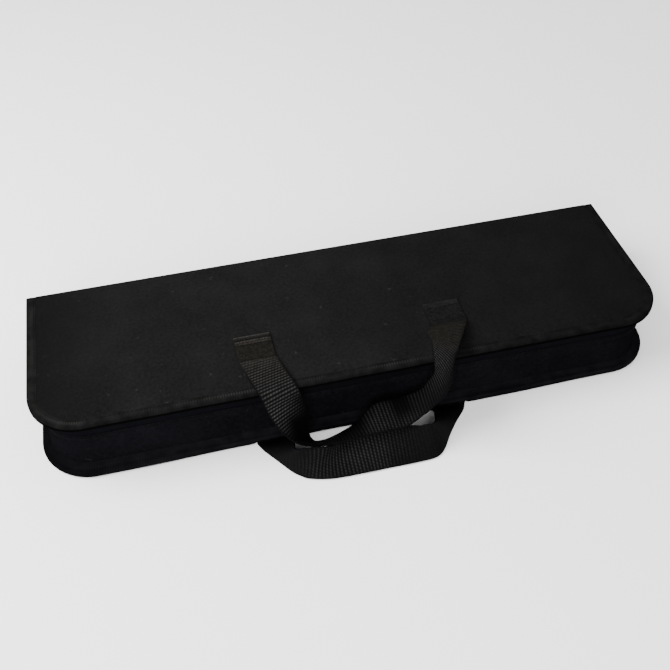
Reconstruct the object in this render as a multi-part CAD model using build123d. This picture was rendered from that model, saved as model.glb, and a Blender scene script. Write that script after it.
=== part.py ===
"""Zip-round carrying case for a folding music stand, closed and lying flat.

The case is a book of two stiff bound panels, lid and base, joined by a spine at the back (+Y). A wall
of cloth stands between them on the other three sides, with a zip along its top. Two webbing handles
are sewn to the panels near the front (-Y). The origin is the middle of the base's underside.
"""

import os
from math import floor, pi

from build123d import *

# Whole case, without the handles
case_length = 520.0
case_width = 157.0
case_height = 59.0
corner_radius = 42.0

# Layers of the lid and of the base, from the outside in
cover_thickness = 0.8
padding_thickness = 1.9
board_thickness = 2.5
lining_thickness = 0.8

# Tape folded round the panels' edges
binding_width = 8.0
binding_thickness = 0.8
seam_clearance = 0.2

# Wall of the left side, the front and the right side
wall_cover_thickness = 0.8
wall_stiffener_thickness = 1.8
wall_lining_thickness = 0.6
wall_hem_overlap = 4.0

# Spine, and the strip of cloth that hinges the lid to it
spine_board_thickness = 1.9
spine_top_gap = 1.0
hinge_strip_overlap = 11.0

# Zip
zip_below_lid = 6.0
zip_tape_thickness = 0.8
lower_tape_height = 10.5
chain_height = 5.0
chain_thickness = 2.0
chain_bead = 1.2
tooth_pitch = 4.0
tooth_gap = 0.3
zip_end_setback = 20.0
stop_length = 3.0
stop_thickness = 2.6
stop_height = 2.8

# Zip sliders and their pulls
slider_length = 11.0
slider_nose_height = 9.0
slider_tail_height = 6.4
slider_plate_thickness = 1.2
slider_plate_gap = 3.2
slider_rim_height = 1.0
slider_tape_slot = 2.0
slider_spacing = 13.0
wedge_length = 3.6
wedge_height = 1.8
wedge_clearance = 0.4
stud_diameter = 2.4
stud_length = 2.8
crown_thickness = 1.0
crown_width = 3.6
crown_post_length = 1.6
pull_length = 27.0
pull_width = 7.6
pull_thickness = 1.4
pull_eye_diameter = 6.4
pull_eye_clearance = 0.3
pull_neck_width = 3.6
pull_slot_width = 2.6

# Webbing handles
webbing_width = 30.0
webbing_thickness = 1.6
handle_spacing = 160.0
sewn_length = 26.0
stitch_setback = 36.5
fold_gap = 2.2
fold_lift = 0.4
channel_clearance = 0.4
channel_side_clearance = 0.8
base_leg_lean_left = 4.0
base_leg_lean_right = 10.0
base_leg_flat_out = 1.5

# Levels and faces that follow from the sizes above
panel_thickness = cover_thickness + padding_thickness + board_thickness + lining_thickness
lid_underside = case_height - panel_thickness
zip_height = lid_underside - zip_below_lid
front = -case_width / 2
back = case_width / 2
spine_thickness = cover_thickness + spine_board_thickness + lining_thickness
spine_inside = back - spine_thickness
panel_back = back - cover_thickness - seam_clearance
spine_top = zip_height - spine_top_gap
core_inset = binding_thickness + seam_clearance
skin_inset = binding_width + seam_clearance
wall_inset = skin_inset + seam_clearance
stiffener_inset = wall_inset + wall_cover_thickness + seam_clearance
wall_lining_inset = stiffener_inset + wall_stiffener_thickness + seam_clearance
zip_inset = stiffener_inset + zip_tape_thickness / 2
lower_tape_top = zip_height - chain_height / 2
lower_tape_bottom = lower_tape_top - lower_tape_height
wall_top = lower_tape_bottom + wall_hem_overlap
teeth_back = spine_inside - zip_end_setback
stitch_line = front + stitch_setback
corner_x = case_length / 2 - corner_radius
corner_y = front + corner_radius
zip_x = case_length / 2 - zip_inset


def plan(inset, rear):
    """Plan of a panel: a rectangle whose two front corners are rounded."""
    length = case_length - 2 * inset
    depth = rear - front - inset
    sheet = Pos(0, rear - depth / 2) * Rectangle(length, depth)
    corners = sheet.vertices().group_by(Axis.Y)[0]
    return fillet(corners, corner_radius - inset)


def slab(inset, rear, bottom, thickness):
    """Flat sheet with the panel's plan, drawn in from the case's outline by inset."""
    return extrude(Pos(0, 0, bottom) * plan(inset, rear), thickness)


def band(outer, inner, rear, bottom, height):
    """U-shaped strip along the left side, the front and the right side, open at the back."""
    hollow = slab(inner, back + case_width, bottom - height, 3 * height)
    return slab(outer, rear, bottom, height) - hollow


def in_lengths(strip):
    """The strip as three lengths that meet at the middle of each front corner, so none is hooked."""
    lengths = []
    for side in (-1, 1):
        corner = (side * corner_x, corner_y, 0)
        mitre = Plane(origin=corner, x_dir=(0, 0, 1), z_dir=(side, 1, 0))
        lengths.append(split(strip, bisect_by=mitre, keep=Keep.TOP))
        strip = split(strip, bisect_by=mitre, keep=Keep.BOTTOM)
    return Compound(children=[*lengths, strip])


def block(low, high):
    """Box between two opposite corners."""
    size = [b - a for a, b in zip(low, high)]
    middle = [(a + b) / 2 for a, b in zip(low, high)]
    return Pos(*middle) * Box(*size)


def folded_binding(bottom):
    """Tape folded round the edge of a panel, with a flange on each of its faces."""
    tape = band(0, binding_width, panel_back, bottom, panel_thickness)
    inside_height = panel_thickness - 2 * binding_thickness
    edge = band(
        binding_thickness,
        binding_width + binding_thickness,
        back,
        bottom + binding_thickness,
        inside_height,
    )
    return tape - edge


def panel_layers(bottom, outer_face_down):
    """Cover, padding, board and lining of a panel, as a dict of name to solid."""
    layers = [
        ("cover", cover_thickness, skin_inset),
        ("padding", padding_thickness, core_inset),
        ("board", board_thickness, core_inset),
        ("lining", lining_thickness, skin_inset),
    ]
    level = bottom
    made = {}
    for name, thickness, inset in layers if outer_face_down else reversed(layers):
        made[name] = slab(inset, panel_back, level, thickness)
        level += thickness
    return made


def zip_teeth(edge, direction, first_tooth):
    """One row of zip teeth: a bead on the tape's edge, with teeth that reach past the other row's.

    edge is the height of the tape's edge and direction is 1 or -1, towards the other tape.
    """
    half = chain_thickness / 2
    bottom = edge if direction > 0 else edge - chain_bead
    row = band(zip_inset - half, zip_inset + half, teeth_back, bottom, chain_bead)
    tooth_length = tooth_pitch / 2 - tooth_gap
    tooth_height = chain_height - 2 * chain_bead
    tooth_middle = edge + direction * (chain_bead + tooth_height / 2)
    tooth = Box(tooth_length, chain_thickness, tooth_height)
    teeth = []
    side_run = teeth_back - corner_y
    arc_radius = corner_radius - zip_inset
    arc_run = arc_radius * pi / 2
    half_run = side_run + arc_run + corner_x
    count = floor((half_run - tooth_length) / tooth_pitch)
    for side in (-1, 1):
        for number in range(count):
            along = (number + first_tooth / 2) * tooth_pitch
            if side < 0 and along == 0:
                continue
            if along < corner_x:
                spot = Pos(side * along, front + zip_inset, tooth_middle)
            elif along < corner_x + arc_run:
                turn = side * (along - corner_x) / arc_run * 90
                spot = (
                    Pos(side * corner_x, corner_y, tooth_middle)
                    * Rot(0, 0, turn)
                    * Pos(0, -arc_radius, 0)
                )
            else:
                rise = along - corner_x - arc_run
                spot = Pos(side * zip_x, corner_y + rise, tooth_middle) * Rot(0, 0, 90)
            teeth.append(spot * tooth)
    row = row + teeth
    for wedge_y, nose in slider_places:
        room = wedge_length + 2 * wedge_clearance
        reach = nose * (slider_length - wedge_length) / 2
        row -= Pos(zip_x, wedge_y + reach, zip_height) * Box(
            2 * chain_thickness, room, 2 * chain_height
        )
    return row


def zip_stops(edge, direction):
    """A metal stop clamped on the tape's edge at each end of a row of teeth."""
    stops = []
    for side in (-1, 1):
        middle = Pos(
            side * zip_x,
            teeth_back + seam_clearance + stop_length / 2,
            edge - direction * (stop_height / 2 - chain_bead),
        )
        clamp = middle * Box(stop_thickness, stop_length, stop_height)
        slot = Pos(side * zip_x, 0, edge - direction * stop_height) * Box(
            zip_tape_thickness + seam_clearance, case_width, 2 * stop_height
        )
        stops.append(clamp - slot)
    return Compound(children=stops)


def slider(place_y, nose):
    """Zip slider on the right side: two plates with rims, a wedge between them and a crowned stud.

    nose is 1 or -1, the way along Y that the wide end of the slider points.
    """
    half = slider_length / 2
    tall = slider_nose_height / 2
    low = slider_tail_height / 2
    shoulder = half - slider_nose_height / 4
    corners = [
        (-half, -low),
        (-half, low),
        (0, low),
        (shoulder, tall),
        (half, low),
        (half, -low),
        (shoulder, -tall),
        (0, -low),
    ]
    face = make_face(Polyline(*[(nose * a, b) for a, b in corners], close=True))
    side_plane = Plane(origin=(0, 0, 0), x_dir=(0, 1, 0), z_dir=(1, 0, 0))
    outline = side_plane * face
    plate_start = slider_plate_gap / 2
    depth = slider_plate_gap + 2 * slider_plate_thickness
    whole = extrude(Pos(-depth / 2, 0, 0) * outline, depth, dir=(1, 0, 0))
    channel = Box(slider_plate_gap, 2 * slider_length, slider_nose_height - 2 * slider_rim_height)
    tape_slot = Box(slider_tape_slot, 2 * slider_length, 2 * slider_nose_height)
    body = whole - channel - tape_slot
    wedge_face = make_face(
        Polyline(
            (-wedge_length / 2, 0),
            (0, wedge_height / 2),
            (wedge_length / 2, wedge_height / 4),
            (wedge_length / 2, -wedge_height / 4),
            (0, -wedge_height / 2),
            close=True,
        )
    )
    wedge_at = nose * (slider_length - wedge_length) / 2
    wedge = extrude(
        Pos(-depth / 2, wedge_at, 0) * (side_plane * (Rot(0, 0, 90 - 90 * nose) * wedge_face)),
        depth,
        dir=(1, 0, 0),
    )
    outside = depth / 2
    stud = Pos(outside + stud_length / 2, 0, 0) * Rot(0, 90, 0) * Cylinder(
        stud_diameter / 2, stud_length
    )
    crown_reach = half - crown_post_length / 2
    crown = block(
        (outside + stud_length, min(0, nose * crown_reach), -crown_width / 2),
        (outside + stud_length + crown_thickness, max(0, nose * crown_reach), crown_width / 2),
    )
    cap = Pos(outside + stud_length + crown_thickness / 2, 0, 0) * Rot(0, 90, 0) * Cylinder(
        crown_width / 2, crown_thickness
    )
    post_end = nose * half
    post_start = nose * (half - crown_post_length)
    post = block(
        (outside - slider_plate_thickness / 2, min(post_start, post_end), -crown_width / 2),
        (outside + stud_length + crown_thickness, max(post_start, post_end), crown_width / 2),
    )
    made = body + wedge + stud + crown + cap + post
    return Pos(zip_x, place_y, zip_height) * made


def pull(place_y):
    """Flat tab that hangs from a slider's stud: an eye, a neck and a slotted plate."""
    side_plane = Plane(origin=(0, 0, 0), x_dir=(0, 1, 0), z_dir=(1, 0, 0))
    tab_top = -pull_eye_diameter
    tab_height = pull_length - pull_eye_diameter - pull_eye_diameter / 2
    tab = Pos(0, tab_top - tab_height / 2) * RectangleRounded(
        pull_width, tab_height, pull_width / 3
    )
    neck = Pos(0, -pull_eye_diameter / 2 - pull_eye_diameter / 4) * Rectangle(
        pull_neck_width, pull_eye_diameter
    )
    eye_hole = Circle(stud_diameter / 2 + pull_eye_clearance)
    slot_height = tab_height - pull_width
    slot = Pos(0, tab_top - tab_height / 2) * SlotOverall(
        slot_height, pull_slot_width, rotation=90
    )
    shape = Circle(pull_eye_diameter / 2) + neck + tab - eye_hole - slot
    outside = slider_plate_gap / 2 + slider_plate_thickness
    start = zip_x + outside + (stud_length - pull_thickness) / 2
    place = Pos(start, place_y, zip_height)
    return extrude(place * (side_plane * shape), pull_thickness, dir=(1, 0, 0))


def blend_points(before, start, end, after, share):
    """Point on the smooth curve from start to end, from the points on each side of them."""
    slope_in = (end - before) * 0.5
    slope_out = (after - start) * 0.5
    square = share * share
    cube = square * share
    return (
        start * (2 * cube - 3 * square + 1)
        + slope_in * (cube - 2 * square + share)
        + end * (3 * square - 2 * cube)
        + slope_out * (cube - square)
    )


def webbing_loop(stations, steps):
    """Webbing along stations, each a pair of points that give its outer edge and its lean.

    The two ends run straight from the stitch rows, and the rest is a smooth curve.
    """
    edges = [(Vector(*outer), Vector(*inner)) for outer, inner in stations]
    curve = edges[1:-1]
    padded = [curve[0]] + curve + [curve[-1]]
    pairs = [edges[0]]
    for number in range(len(curve) - 1):
        around = padded[number : number + 4]
        for step in range(steps):
            share = step / steps
            pairs.append([blend_points(*[p[side] for p in around], share) for side in (0, 1)])
    pairs += [curve[-1], edges[-1]]
    halves = [(inner - outer).normalized() * (webbing_width / 2) for outer, inner in pairs]
    middles = [outer + half for (outer, inner), half in zip(pairs, halves)]
    rings = []
    for number, (middle, half) in enumerate(zip(middles, halves)):
        after = middles[min(number + 1, len(middles) - 1)]
        along = after - middles[max(number - 1, 0)]
        through = half.cross(along).normalized() * (webbing_thickness / 2)
        if number in (0, len(middles) - 1):
            through = Vector(0, 0, -webbing_thickness / 2)
        rings.append(
            [
                middle - half - through,
                middle + half - through,
                middle + half + through,
                middle - half + through,
            ]
        )
    skin = [Face(Wire.make_polygon(rings[0])), Face(Wire.make_polygon(rings[-1]))]
    for ring, following in zip(rings, rings[1:]):
        for corner in range(4):
            beside = (corner + 1) % 4
            skin.append(
                Face(Wire.make_polygon([ring[corner], ring[beside], following[beside]]))
            )
            skin.append(
                Face(Wire.make_polygon([ring[corner], following[beside], following[corner]]))
            )
    loop = Solid(Shell(skin))
    for middle in (middles[0], middles[-1]):
        knuckle = Cylinder(webbing_thickness / 2, webbing_width)
        loop += Pos(*middle) * Rot(0, 90, 0) * knuckle
    return loop


def sewn_ends(bottom):
    """The two ends of a handle, sewn flat to a panel behind the stitch rows that its loop folds at."""
    ends = []
    for side in (-1, 1):
        middle = side * handle_spacing / 2
        ends.append(
            block(
                (middle - webbing_width / 2, stitch_line + fold_gap, bottom),
                (
                    middle + webbing_width / 2,
                    stitch_line + sewn_length,
                    bottom + webbing_thickness,
                ),
            )
        )
    return Compound(children=ends)


def handle_recess():
    """Room under the base for its handle: a pocket for each sewn end and a channel to the front."""
    rooms = []
    far = anchor_out + channel_side_clearance
    near = anchor_in - channel_side_clearance
    fold = stitch_line + fold_gap
    mouth = front - 1
    for side, lean in ((-1, base_leg_lean_left), (1, base_leg_lean_right)):
        pocket = block(
            (min(side * near, side * far), fold, -1),
            (
                max(side * near, side * far),
                stitch_line + sewn_length + channel_side_clearance,
                webbing_thickness,
            ),
        )
        corners = [
            (side * far, fold),
            (side * near, fold),
            (side * near, stitch_line),
            (side * (near - lean), mouth),
            (side * (far - lean), mouth),
            (side * far, stitch_line),
        ]
        floor_plan = make_face(Polyline(*corners, close=True))
        channel = extrude(
            Pos(0, 0, -1) * floor_plan, 1 + webbing_thickness + channel_clearance, dir=(0, 0, 1)
        )
        rooms += [pocket, channel]
    return rooms


def lid_station(outer, inner):
    """Edge points of the lid's handle: x, distance out from the front, and share of the height."""
    return [(x, front - out, share * case_height) for x, out, share in (outer, inner)]


def base_station(outer, inner):
    """Edge points of the base's handle: x, distance out from the front, and height."""
    return [(x, front - out, rise + base_strap_level) for x, out, rise in (outer, inner)]


slider_places = [(corner_y, 1), (corner_y + slider_spacing, -1)]
anchor_out = (handle_spacing + webbing_width) / 2
anchor_in = (handle_spacing - webbing_width) / 2
lid_strap_level = case_height + webbing_thickness / 2 + fold_lift
base_strap_level = webbing_thickness / 2

# Lid handle's loop from its left end to its right end: the left leg hangs over the lid's edge, the
# bottom leans on the other handle, and the right leg turns its edge to the front as it climbs
lid_loop_stations = [
    lid_station((-91, -16.5, 1.04), (-60, -20.5, 1.04)),
    lid_station((-85, 5, 1.03), (-54, 2, 1.03)),
    lid_station((-81, 11, 0.81), (-51, 5, 0.81)),
    lid_station((-76, 17.5, 0.64), (-50, 6.5, 0.525)),
    lid_station((-70, 24, 0.525), (-49.5, 8.5, 0.23)),
    lid_station((-62.5, 29, 0.465), (-46, 13, 0.1)),
    lid_station((-53, 32, 0.43), (-37, 13.5, 0.085)),
    lid_station((-39, 33.5, 0.425), (-26.5, 10.5, 0.1)),
    lid_station((-22, 33.5, 0.425), (-13.5, 7, 0.16)),
    lid_station((-7, 33.5, 0.415), (-4, 5, 0.26)),
    lid_station((7, 33, 0.41), (8, 4, 0.415)),
    lid_station((24.5, 33, 0.43), (24.5, 4, 0.43)),
    lid_station((38, 31.5, 0.56), (37, 4, 0.46)),
    lid_station((48, 31, 0.72), (45.5, 4, 0.54)),
    lid_station((56, 30.5, 0.89), (51, 4, 0.69)),
    lid_station((59.5, 30, 1.09), (54.9, 4, 0.83)),
    lid_station((61, 27.5, 1.26), (55.5, 4, 1)),
    lid_station((66, 17.5, 1.3), (57.5, -4, 1.045)),
    lid_station((74.5, 2, 1.24), (60.5, -19, 1.035)),
    lid_station((91, -27, 1.12), (63.5, -31, 1.05)),
]

# Base handle's loop, flat under the base and then on edge along the floor, leaning to the case
base_loop_stations = [
    base_station(
        (base_leg_lean_left - anchor_out, base_leg_flat_out, 0),
        (base_leg_lean_left - anchor_in, base_leg_flat_out, 0),
    ),
    base_station((-86, 11.5, 0), (-64, 19.5, 16.2)),
    base_station((-78, 22.5, 0), (-64.9, 33.3, 24.7)),
    base_station((-69, 35.5, 0), (-58, 36.8, 27.7)),
    base_station((-63.5, 41, 0), (-49.5, 36.3, 25)),
    base_station((-57, 45.5, 0), (-40.5, 35, 18.2)),
    base_station((-40, 50, 0), (-30, 28.5, 15)),
    base_station((-15, 51, 0), (-10, 27.5, 16.3)),
    base_station((10, 51, 0), (11, 28, 17.3)),
    base_station((32, 51, 0), (28, 29.5, 19)),
    base_station((46, 49.5, 0), (35, 33, 22.5)),
    base_station((54, 43, 0), (41, 36, 26)),
    base_station((62, 31, 0), (46.6, 35, 25.4)),
    base_station((72, 18.5, 0), (50.5, 25.5, 19.7)),
    base_station((81, 9, 0), (53.5, 12.6, 11.5)),
    base_station(
        (anchor_out - base_leg_lean_right, base_leg_flat_out, 0),
        (anchor_in - base_leg_lean_right, base_leg_flat_out, 0),
    ),
]


def anchors(level):
    """Edge points of a handle at its left and its right stitch row."""
    left = [(-anchor_out, stitch_line, level), (-anchor_in, stitch_line, level)]
    right = [(anchor_out, stitch_line, level), (anchor_in, stitch_line, level)]
    return left, right


nodes = {}

# Base panel, with room cut under it for its handle
for name, solid in panel_layers(0, True).items():
    nodes["base_" + name] = solid
nodes["base_binding"] = folded_binding(0)
for name in ("base_cover", "base_padding", "base_binding"):
    nodes[name] = nodes[name] - handle_recess()

# Lid panel
for name, solid in panel_layers(lid_underside, False).items():
    nodes["lid_" + name] = solid
nodes["lid_binding"] = folded_binding(lid_underside)

# Wall, standing on the base's lining
stiffener_height = lower_tape_bottom - panel_thickness
nodes["side_wall"] = band(
    wall_inset,
    wall_inset + wall_cover_thickness,
    spine_inside,
    panel_thickness,
    wall_top - panel_thickness,
)
nodes["wall_stiffener"] = band(
    stiffener_inset,
    stiffener_inset + wall_stiffener_thickness,
    spine_inside,
    panel_thickness,
    stiffener_height,
)
nodes["wall_lining"] = band(
    wall_lining_inset,
    wall_lining_inset + wall_lining_thickness,
    spine_inside,
    panel_thickness,
    stiffener_height,
)

# Spine, and the strip of cloth that hinges the lid to it
skin_x = case_length / 2 - skin_inset
core_x = case_length / 2 - core_inset
hinge_strip_bottom = zip_height - hinge_strip_overlap
nodes["spine_cover"] = block(
    (-skin_x, back - cover_thickness, 0), (skin_x, back, hinge_strip_bottom - seam_clearance)
)
nodes["hinge_strip"] = block(
    (-skin_x, back - cover_thickness, hinge_strip_bottom), (skin_x, back, case_height)
)
nodes["spine_board"] = block(
    (-core_x, spine_inside + lining_thickness, panel_thickness),
    (core_x, back - cover_thickness, spine_top),
)
nodes["spine_lining"] = block(
    (-skin_x, spine_inside, panel_thickness), (skin_x, spine_inside + lining_thickness, spine_top)
)
tapes = []
for side in (-1, 1):
    outer_x = side * case_length / 2
    inner_x = side * (case_length / 2 - binding_width)
    tape = block(
        (min(outer_x, inner_x), spine_inside, panel_thickness),
        (max(outer_x, inner_x), back, spine_top),
    )
    tapes.append(tape - nodes["spine_board"] - (Pos(side * binding_thickness, 0, 0) * tape - tape))
nodes["spine_binding"] = Compound(children=tapes)

# Zip: the lower tape and its teeth on the wall, the upper tape and its teeth under the lid
upper_tape_bottom = zip_height + chain_height / 2
lower_tape = band(
    stiffener_inset,
    stiffener_inset + zip_tape_thickness,
    spine_inside,
    lower_tape_bottom,
    lower_tape_height,
)
nodes["zip_tape_lower"] = in_lengths(lower_tape)
upper_tape = band(
    stiffener_inset,
    stiffener_inset + zip_tape_thickness,
    teeth_back + 2 * stop_length,
    upper_tape_bottom,
    lid_underside - upper_tape_bottom,
)
nodes["zip_tape_upper"] = in_lengths(upper_tape)
nodes["zip_teeth_lower"] = zip_teeth(lower_tape_top, 1, 0)
nodes["zip_teeth_upper"] = zip_teeth(upper_tape_bottom, -1, 1)
nodes["zip_stops_lower"] = zip_stops(lower_tape_top, 1)
nodes["zip_stops_upper"] = zip_stops(upper_tape_bottom, -1)

# The two sliders stand nose to nose at the right front corner, as on a zip that is shut
for name, (place_y, nose) in zip(("front", "rear"), slider_places):
    nodes["zip_slider_" + name] = slider(place_y, nose)
    nodes["zip_pull_" + name] = pull(place_y)

# Handles
left_end, right_end = anchors(lid_strap_level)
nodes["lid_handle_ends"] = sewn_ends(case_height)
nodes["lid_handle_loop"] = webbing_loop([left_end] + lid_loop_stations + [right_end], 2)
left_end, right_end = anchors(base_strap_level)
nodes["base_handle_ends"] = sewn_ends(0)
nodes["base_handle_loop"] = webbing_loop([left_end] + base_loop_stations + [right_end], 2)

os.makedirs("parts", exist_ok=True)
for name, solid in nodes.items():
    export_step(solid, f"parts/{name}.step")
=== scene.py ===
from math import ceil, cos, pi, radians, sin

import bpy
import numpy as np
from mathutils import Matrix, Vector


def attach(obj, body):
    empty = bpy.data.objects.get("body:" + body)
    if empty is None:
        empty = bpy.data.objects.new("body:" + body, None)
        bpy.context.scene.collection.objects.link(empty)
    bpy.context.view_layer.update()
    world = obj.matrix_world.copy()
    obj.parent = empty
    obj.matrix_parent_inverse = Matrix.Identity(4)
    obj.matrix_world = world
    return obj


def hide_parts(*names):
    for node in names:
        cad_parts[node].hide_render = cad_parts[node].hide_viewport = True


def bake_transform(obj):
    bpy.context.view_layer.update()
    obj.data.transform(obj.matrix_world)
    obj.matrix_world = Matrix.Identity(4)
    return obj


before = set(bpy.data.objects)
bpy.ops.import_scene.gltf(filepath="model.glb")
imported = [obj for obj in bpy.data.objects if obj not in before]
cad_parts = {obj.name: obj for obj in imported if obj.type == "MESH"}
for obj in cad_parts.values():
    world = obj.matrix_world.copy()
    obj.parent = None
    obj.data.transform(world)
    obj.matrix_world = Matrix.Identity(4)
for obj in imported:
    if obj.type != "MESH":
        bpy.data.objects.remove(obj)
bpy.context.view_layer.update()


# --------------------------------------------------
# Boards: stiff sheets of pressed fibre that give the lid, the base, the wall and the spine their shape.
# They are die-cut and lie between the cloth and the lining, where the sewing holds them.

class Value:
    """A shader value: arithmetic on it adds Math nodes, and node() adds a node of any other type."""

    def __init__(self, tree, socket=None):
        self.tree = tree
        self.socket = socket

    def node(self, kind, settings=None, sockets=None, output=0):
        """A node of the given kind: its settings are set first, then the values or links of its sockets."""
        made = self.tree.nodes.new(kind)
        for name, setting in (settings or {}).items():
            setattr(made, name, setting)
        for name, value in (sockets or {}).items():
            if isinstance(value, Value):
                self.tree.links.new(value.socket, made.inputs[name])
            else:
                made.inputs[name].default_value = value
        return Value(self.tree, made.outputs[output])

    def math(self, operation, first, second=0.0):
        """A Math node on two values or numbers."""
        return self.node("ShaderNodeMath", {"operation": operation}, {0: first, 1: second})

    def __add__(self, other):
        return self.math("ADD", self, other)

    __radd__ = __add__

    def __mul__(self, other):
        return self.math("MULTIPLY", self, other)

    __rmul__ = __mul__

    def __sub__(self, other):
        return self.math("SUBTRACT", self, other)

    def __rsub__(self, other):
        return self.math("SUBTRACT", other, self)

    def __pow__(self, power):
        return self.math("POWER", self, power)

    def wave(self, length):
        """Sine of the value, with one full wave in the given length."""
        return self.math("SINE", self * (2 * pi / length))

    def between(self, low, high):
        """The value cut off at low and high and stretched to run from 0 to 1."""
        limits = {"Value": self, "From Min": low, "From Max": high}
        return self.node("ShaderNodeMapRange", {"clamp": True}, limits)

    def mottle(self, scale, detail=3.0):
        """Smooth noise in the piece's own space, from 0 to 1, with scale cells to the metre."""
        spot = self.node("ShaderNodeTexCoord", output="Object")
        return self.node("ShaderNodeTexNoise", None, {"Vector": spot, "Scale": scale, "Detail": detail})

    def place(self, axis):
        """Place along one axis of the piece's own space, which is the case's."""
        spot = self.node("ShaderNodeTexCoord", output="Object")
        return self.node("ShaderNodeSeparateXYZ", None, {0: spot}, axis)

    def weave(self):
        """The two sides of the piece's weave map, in metres along the cloth and across it."""
        spot = self.node("ShaderNodeUVMap", {"uv_map": "weave"})
        return [self.node("ShaderNodeSeparateXYZ", None, {0: spot}, axis) for axis in "XY"]

    def colour(self, dark, light):
        """Colour that goes from dark to light as the value goes from 0 to 1. An end is a colour or a value."""
        ends = {0: self}
        for socket, end in ((6, dark), (7, light)):
            ends[socket] = end if isinstance(end, Value) else (*end, 1.0)
        return self.node("ShaderNodeMix", {"data_type": "RGBA"}, ends, 2)

    def into(self, shader, name):
        """Feed the value to one of the shader's sockets."""
        self.tree.links.new(self.socket, shader.inputs[name])

    def bump(self, shader, distance):
        """Relief on the shader's surface: the value is a height in parts of the distance."""
        relief = {"Height": self, "Distance": distance, "Strength": 1.0}
        self.node("ShaderNodeBump", None, relief).into(shader, "Normal")


def material(name, **constants):
    """New material with one Principled shader, whose constants are set on its own sockets."""
    made = bpy.data.materials.new(name)
    made.use_nodes = True
    shader = made.node_tree.nodes["Principled BSDF"]
    for socket, constant in constants.items():
        shader.inputs[socket.replace("_", " ")].default_value = constant
    return made, shader, Value(made.node_tree)


def dress(node, finish):
    """Give a piece of the frame its finish."""
    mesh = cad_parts[node].data
    mesh.materials.clear()
    mesh.materials.append(finish)


fibre_board, shader, start = material("fibre_board", Specular_IOR_Level=0.2)
fibres = start.mottle(420.0, 5.0)
fibres.colour((0.055, 0.042, 0.030), (0.105, 0.083, 0.060)).into(shader, "Base Color")
(0.75 + fibres * 0.2).into(shader, "Roughness")
fibres.bump(shader, 0.0002)
for board in ("base_board", "lid_board", "wall_stiffener", "spine_board"):
    dress(board, fibre_board)


# --------------------------------------------------
# Covers: the outer cloth of the lid and of the base, one cut of black pack cloth over thin foam each.
# The cloth lies flat over the foam, dips to the binding round its edge and is pulled in by the handles.

corner_radius = 0.042
corner_x, corner_y = 0.218, -0.0365
panel_rear = 0.0775
case_top = 0.059


def smooth(value, low, high):
    """Smooth step: 0 up to low, 1 from high, and a cubic between them."""
    share = np.clip((value - low) / (high - low), 0.0, 1.0)
    return share * share * (3 - 2 * share)


def panel_plan(inset, rear, step):
    """Plan of a panel as a grid: lines from its front edge to its rear edge, whose ends follow two quarter
    circles at the front corners. Returns x and y, one row for each line."""
    radius = corner_radius - inset
    corner = corner_x + radius * np.sin(np.linspace(0.0, pi / 2, 18))
    middle = np.linspace(-corner_x, corner_x, ceil(2 * corner_x / step) + 1)[1:-1]
    across = np.concatenate([-corner[::-1], middle, corner])
    past = np.clip(np.abs(across) - corner_x, 0.0, radius)
    front = corner_y - np.sqrt(radius**2 - past**2)
    share = np.linspace(0.0, 1.0, ceil((rear - corner_y + radius) / step) + 1)
    y = front[:, None] + (rear - front[:, None]) * share
    return np.broadcast_to(across[:, None], y.shape), y


def skin(name, sections, uv, finish, sharp=50.0):
    """Closed mesh through a row of closed sections: each point is joined to the next one round its section and
    to the same one of the next section, and the two end sections are filled. uv has one more column than the
    sections, so that the weave runs on over the closing line. Faces are turned outwards by the sign of the
    volume that they close."""
    rows, columns = sections.shape[:2]
    row, column = np.meshgrid(np.arange(rows - 1), np.arange(columns), indexing="ij")
    row = np.stack([row, row + 1, row + 1, row], axis=-1).reshape(-1, 4)
    column = np.stack([column, column, column + 1, column + 1], axis=-1).reshape(-1, 4)
    quads = row * columns + column % columns
    ring = np.arange(columns)
    corners = np.concatenate([quads.ravel(), ring, (rows - 1) * columns + ring[::-1]])
    corner_uv = np.concatenate([uv[row, column].reshape(-1, 2), uv[0, :-1], uv[-1, -2::-1]])
    sizes = np.concatenate([np.full(len(quads), 4), [columns, columns]])
    points = sections.reshape(-1, 3)
    a, b, c, d = (points[quads[:, k]] for k in range(4))
    volume = np.sum(a * np.cross(b, c)) + np.sum(a * np.cross(c, d))
    starts = np.concatenate([[0], np.cumsum(sizes)[:-1]])
    if volume < 0:
        last = np.repeat(starts + sizes - 1, sizes)
        order = last - (np.arange(len(corners)) - np.repeat(starts, sizes))
        corners, corner_uv = corners[order], corner_uv[order]
    return add_mesh(name, points, corners, starts, corner_uv, finish, sharp)


def add_mesh(name, points, corners, starts, corner_uv, finish, sharp):
    """Object at the origin with the given points and faces, smooth except across edges sharper than sharp."""
    mesh = bpy.data.meshes.new(name)
    mesh.vertices.add(len(points))
    mesh.vertices.foreach_set("co", np.ascontiguousarray(points, np.float32).ravel())
    mesh.loops.add(len(corners))
    mesh.loops.foreach_set("vertex_index", corners.astype(np.int32))
    mesh.polygons.add(len(starts))
    mesh.polygons.foreach_set("loop_start", starts.astype(np.int32))
    mesh.update(calc_edges=True)
    mesh.uv_layers.new(name="weave").data.foreach_set("uv", corner_uv.astype(np.float32).ravel())
    mesh.shade_smooth()
    mesh.set_sharp_from_angle(angle=radians(sharp))
    mesh.materials.append(finish)
    piece = bpy.data.objects.new(name, mesh)
    bpy.context.collection.objects.link(piece)
    return piece


def layered(x, y, outside, inside):
    """Sections of a sheet that lies over the plan x, y: out along its outer height and back along its inner
    height. Returns the sections and a weave map in metres of the plan."""
    outer = np.stack([x, y, outside], axis=-1)
    inner = np.stack([x, y, inside], axis=-1)[:, ::-1]
    flat = np.concatenate([outer[..., :2], inner[..., :2], outer[:, :1, :2]], axis=1)
    return np.concatenate([outer, inner], axis=1), flat


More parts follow.
